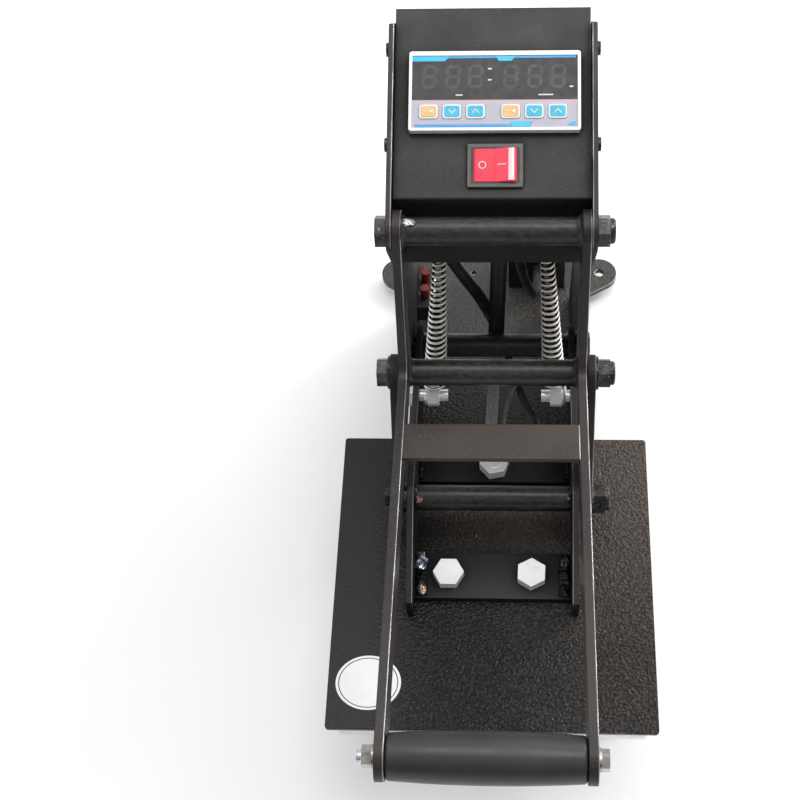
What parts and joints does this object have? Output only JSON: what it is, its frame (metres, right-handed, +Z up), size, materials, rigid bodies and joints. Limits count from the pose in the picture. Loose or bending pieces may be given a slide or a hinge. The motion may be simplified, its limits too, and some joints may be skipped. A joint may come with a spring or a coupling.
{
  "type": "label heat press",
  "caption": "Small clamshell heat press with a square platen, a toggle handle with bridge strap and grip, return springs and a sloped control box.",
  "frame": {"origin": "middle of the four bench holes, on the underside of the base plate", "axes": "+X to the operator's right, -Y towards the operator, +Z up"},
  "size_m": [0.2, 0.4925, 0.3635],
  "materials": {
    "powder_black": "fine-textured satin black powder coat",
    "hammered_black": "hammered black enamel",
    "zinc": "bright zinc plate",
    "fastener_black": "blackened steel",
    "tube_black": "semi-gloss black paint",
    "rubber_black": "matte",
    "silicone": "matte silicone sponge",
    "aluminium_plate": "satin",
    "mica": "fibre board",
    "steel_tube": "satin",
    "bezel_white": "satin white",
    "case_black": "matte",
    "window_dark": "gloss smoked",
    "sheet_lilac": "satin printed film",
    "key_orange": "satin",
    "key_blue": "satin",
    "switch_grey": "satin",
    "rocker_red": "gloss translucent red",
    "relay_grey": "matte",
    "terminal_cream": "matte",
    "crimp_red": "satin",
    "grip_black": "satin",
    "spring_steel": "zinc plated wire",
    "braid_grey": "braided glass-fibre sleeve",
    "cable_black": "satin",
    "lead_light": "satin"
  },
  "bodies": {
    "stand": {"base_plate": "powder_black", "rubber_feet": "rubber_black", "small_screws": "fastener_black", "frame_plate_left": "powder_black", "frame_plate_right": "powder_black", "frame_pivot_bolts": "fastener_black", "spring_rod": "fastener_black", "control_box_shell": "powder_black", "rear_cover": "powder_black", "cable_grommets": "rubber_black", "controller_bezel": "bezel_white", "controller_case": "case_black", "display_window": "window_dark", "key_sheet": "sheet_lilac", "switch_housing": "switch_grey", "relay": "relay_grey", "terminal_block": "terminal_cream", "crimp_terminals": "crimp_red", "inlet_box": "powder_black", "mains_inlet": "case_black", "pedestal": "powder_black", "lower_platen": "aluminium_plate", "silicone_pad": "silicone", "heater_lead": "braid_grey", "power_lead": "cable_black", "earth_lead": "cable_black", "sensor_lead": "lead_light"},
    "arm": {"arm_plate_left": "powder_black", "arm_plate_right": "powder_black", "arm_tube_rear": "tube_black", "arm_tube_front": "tube_black", "link_shaft": "fastener_black", "front_strap": "powder_black", "rear_strap": "powder_black", "platen_bolts": "zinc", "stud_and_nut": "zinc", "platen_cover": "hammered_black", "insulation_board": "mica", "heating_element": "steel_tube", "heater_plate": "aluminium_plate", "spring_bolts": "zinc"},
    "handle": {"handle_plate_left": "powder_black", "handle_plate_right": "powder_black", "handle_tube_top": "tube_black", "handle_tube_knee": "tube_black", "bridge_strap": "powder_black", "grip": "grip_black", "grip_rod": "zinc"},
    "links": {"link_left": "powder_black", "link_right": "powder_black", "link_bolts": "fastener_black"},
    "springs": {"spring_left": "spring_steel", "spring_right": "spring_steel"},
    "rocker": {"switch_rocker": "rocker_red"},
    "key_1": {"key_1": "key_orange"},
    "key_2": {"key_2": "key_blue"},
    "key_3": {"key_3": "key_blue"},
    "key_4": {"key_4": "key_orange"},
    "key_5": {"key_5": "key_blue"},
    "key_6": {"key_6": "key_blue"}
  },
  "joints": [
    {"name": "handle_pivot", "type": "hinge", "parent": "stand", "child": "handle", "pos_m": [0, -0.0094, 0.2984], "axis": [-1, 0, 0], "range_deg": [0, 54.03]},
    {"name": "arm_pivot", "type": "hinge", "parent": "stand", "child": "arm", "pos_m": [0, 0.034, 0.1153], "axis": [-1, 0, 0], "range_deg": [0, 32.1]},
    {"name": "link_pivot", "type": "hinge", "parent": "handle", "child": "links", "pos_m": [0, -0.0455, 0.2073], "axis": [-1, 0, 0], "range_deg": [-113.5, 0]},
    {"name": "spring_pivot", "type": "hinge", "parent": "stand", "child": "springs", "pos_m": [0, 0.017, 0.2653], "axis": [-1, 0, 0], "range_deg": [-4.9, 0], "deforming": ["spring_left", "spring_right"]},
    {"name": "rocker_pivot", "type": "hinge", "parent": "stand", "child": "rocker", "pos_m": [0.0018, 0.02156, 0.31556], "axis": [0, 0.9272, 0.3746], "range_deg": [0, 14]},
    {"name": "key_1_press", "type": "slide", "parent": "stand", "child": "key_1", "axis": [0, 0.3746, -0.9272], "range_m": [0, 0.0005], "stiffness_N_per_m": 300},
    {"name": "key_2_press", "type": "slide", "parent": "stand", "child": "key_2", "axis": [0, 0.3746, -0.9272], "range_m": [0, 0.0005], "stiffness_N_per_m": 300},
    {"name": "key_3_press", "type": "slide", "parent": "stand", "child": "key_3", "axis": [0, 0.3746, -0.9272], "range_m": [0, 0.0005], "stiffness_N_per_m": 300},
    {"name": "key_4_press", "type": "slide", "parent": "stand", "child": "key_4", "axis": [0, 0.3746, -0.9272], "range_m": [0, 0.0005], "stiffness_N_per_m": 300},
    {"name": "key_5_press", "type": "slide", "parent": "stand", "child": "key_5", "axis": [0, 0.3746, -0.9272], "range_m": [0, 0.0005], "stiffness_N_per_m": 300},
    {"name": "key_6_press", "type": "slide", "parent": "stand", "child": "key_6", "axis": [0, 0.3746, -0.9272], "range_m": [0, 0.0005], "stiffness_N_per_m": 300}
  ],
  "couplings": [
    {"joint": "arm_pivot", "follows": "handle_pivot", "ratio": 0.5923},
    {"joint": "link_pivot", "follows": "handle_pivot", "ratio": -2.0965},
    {"joint": "spring_pivot", "follows": "handle_pivot", "ratio": -0.0898}
  ]
}
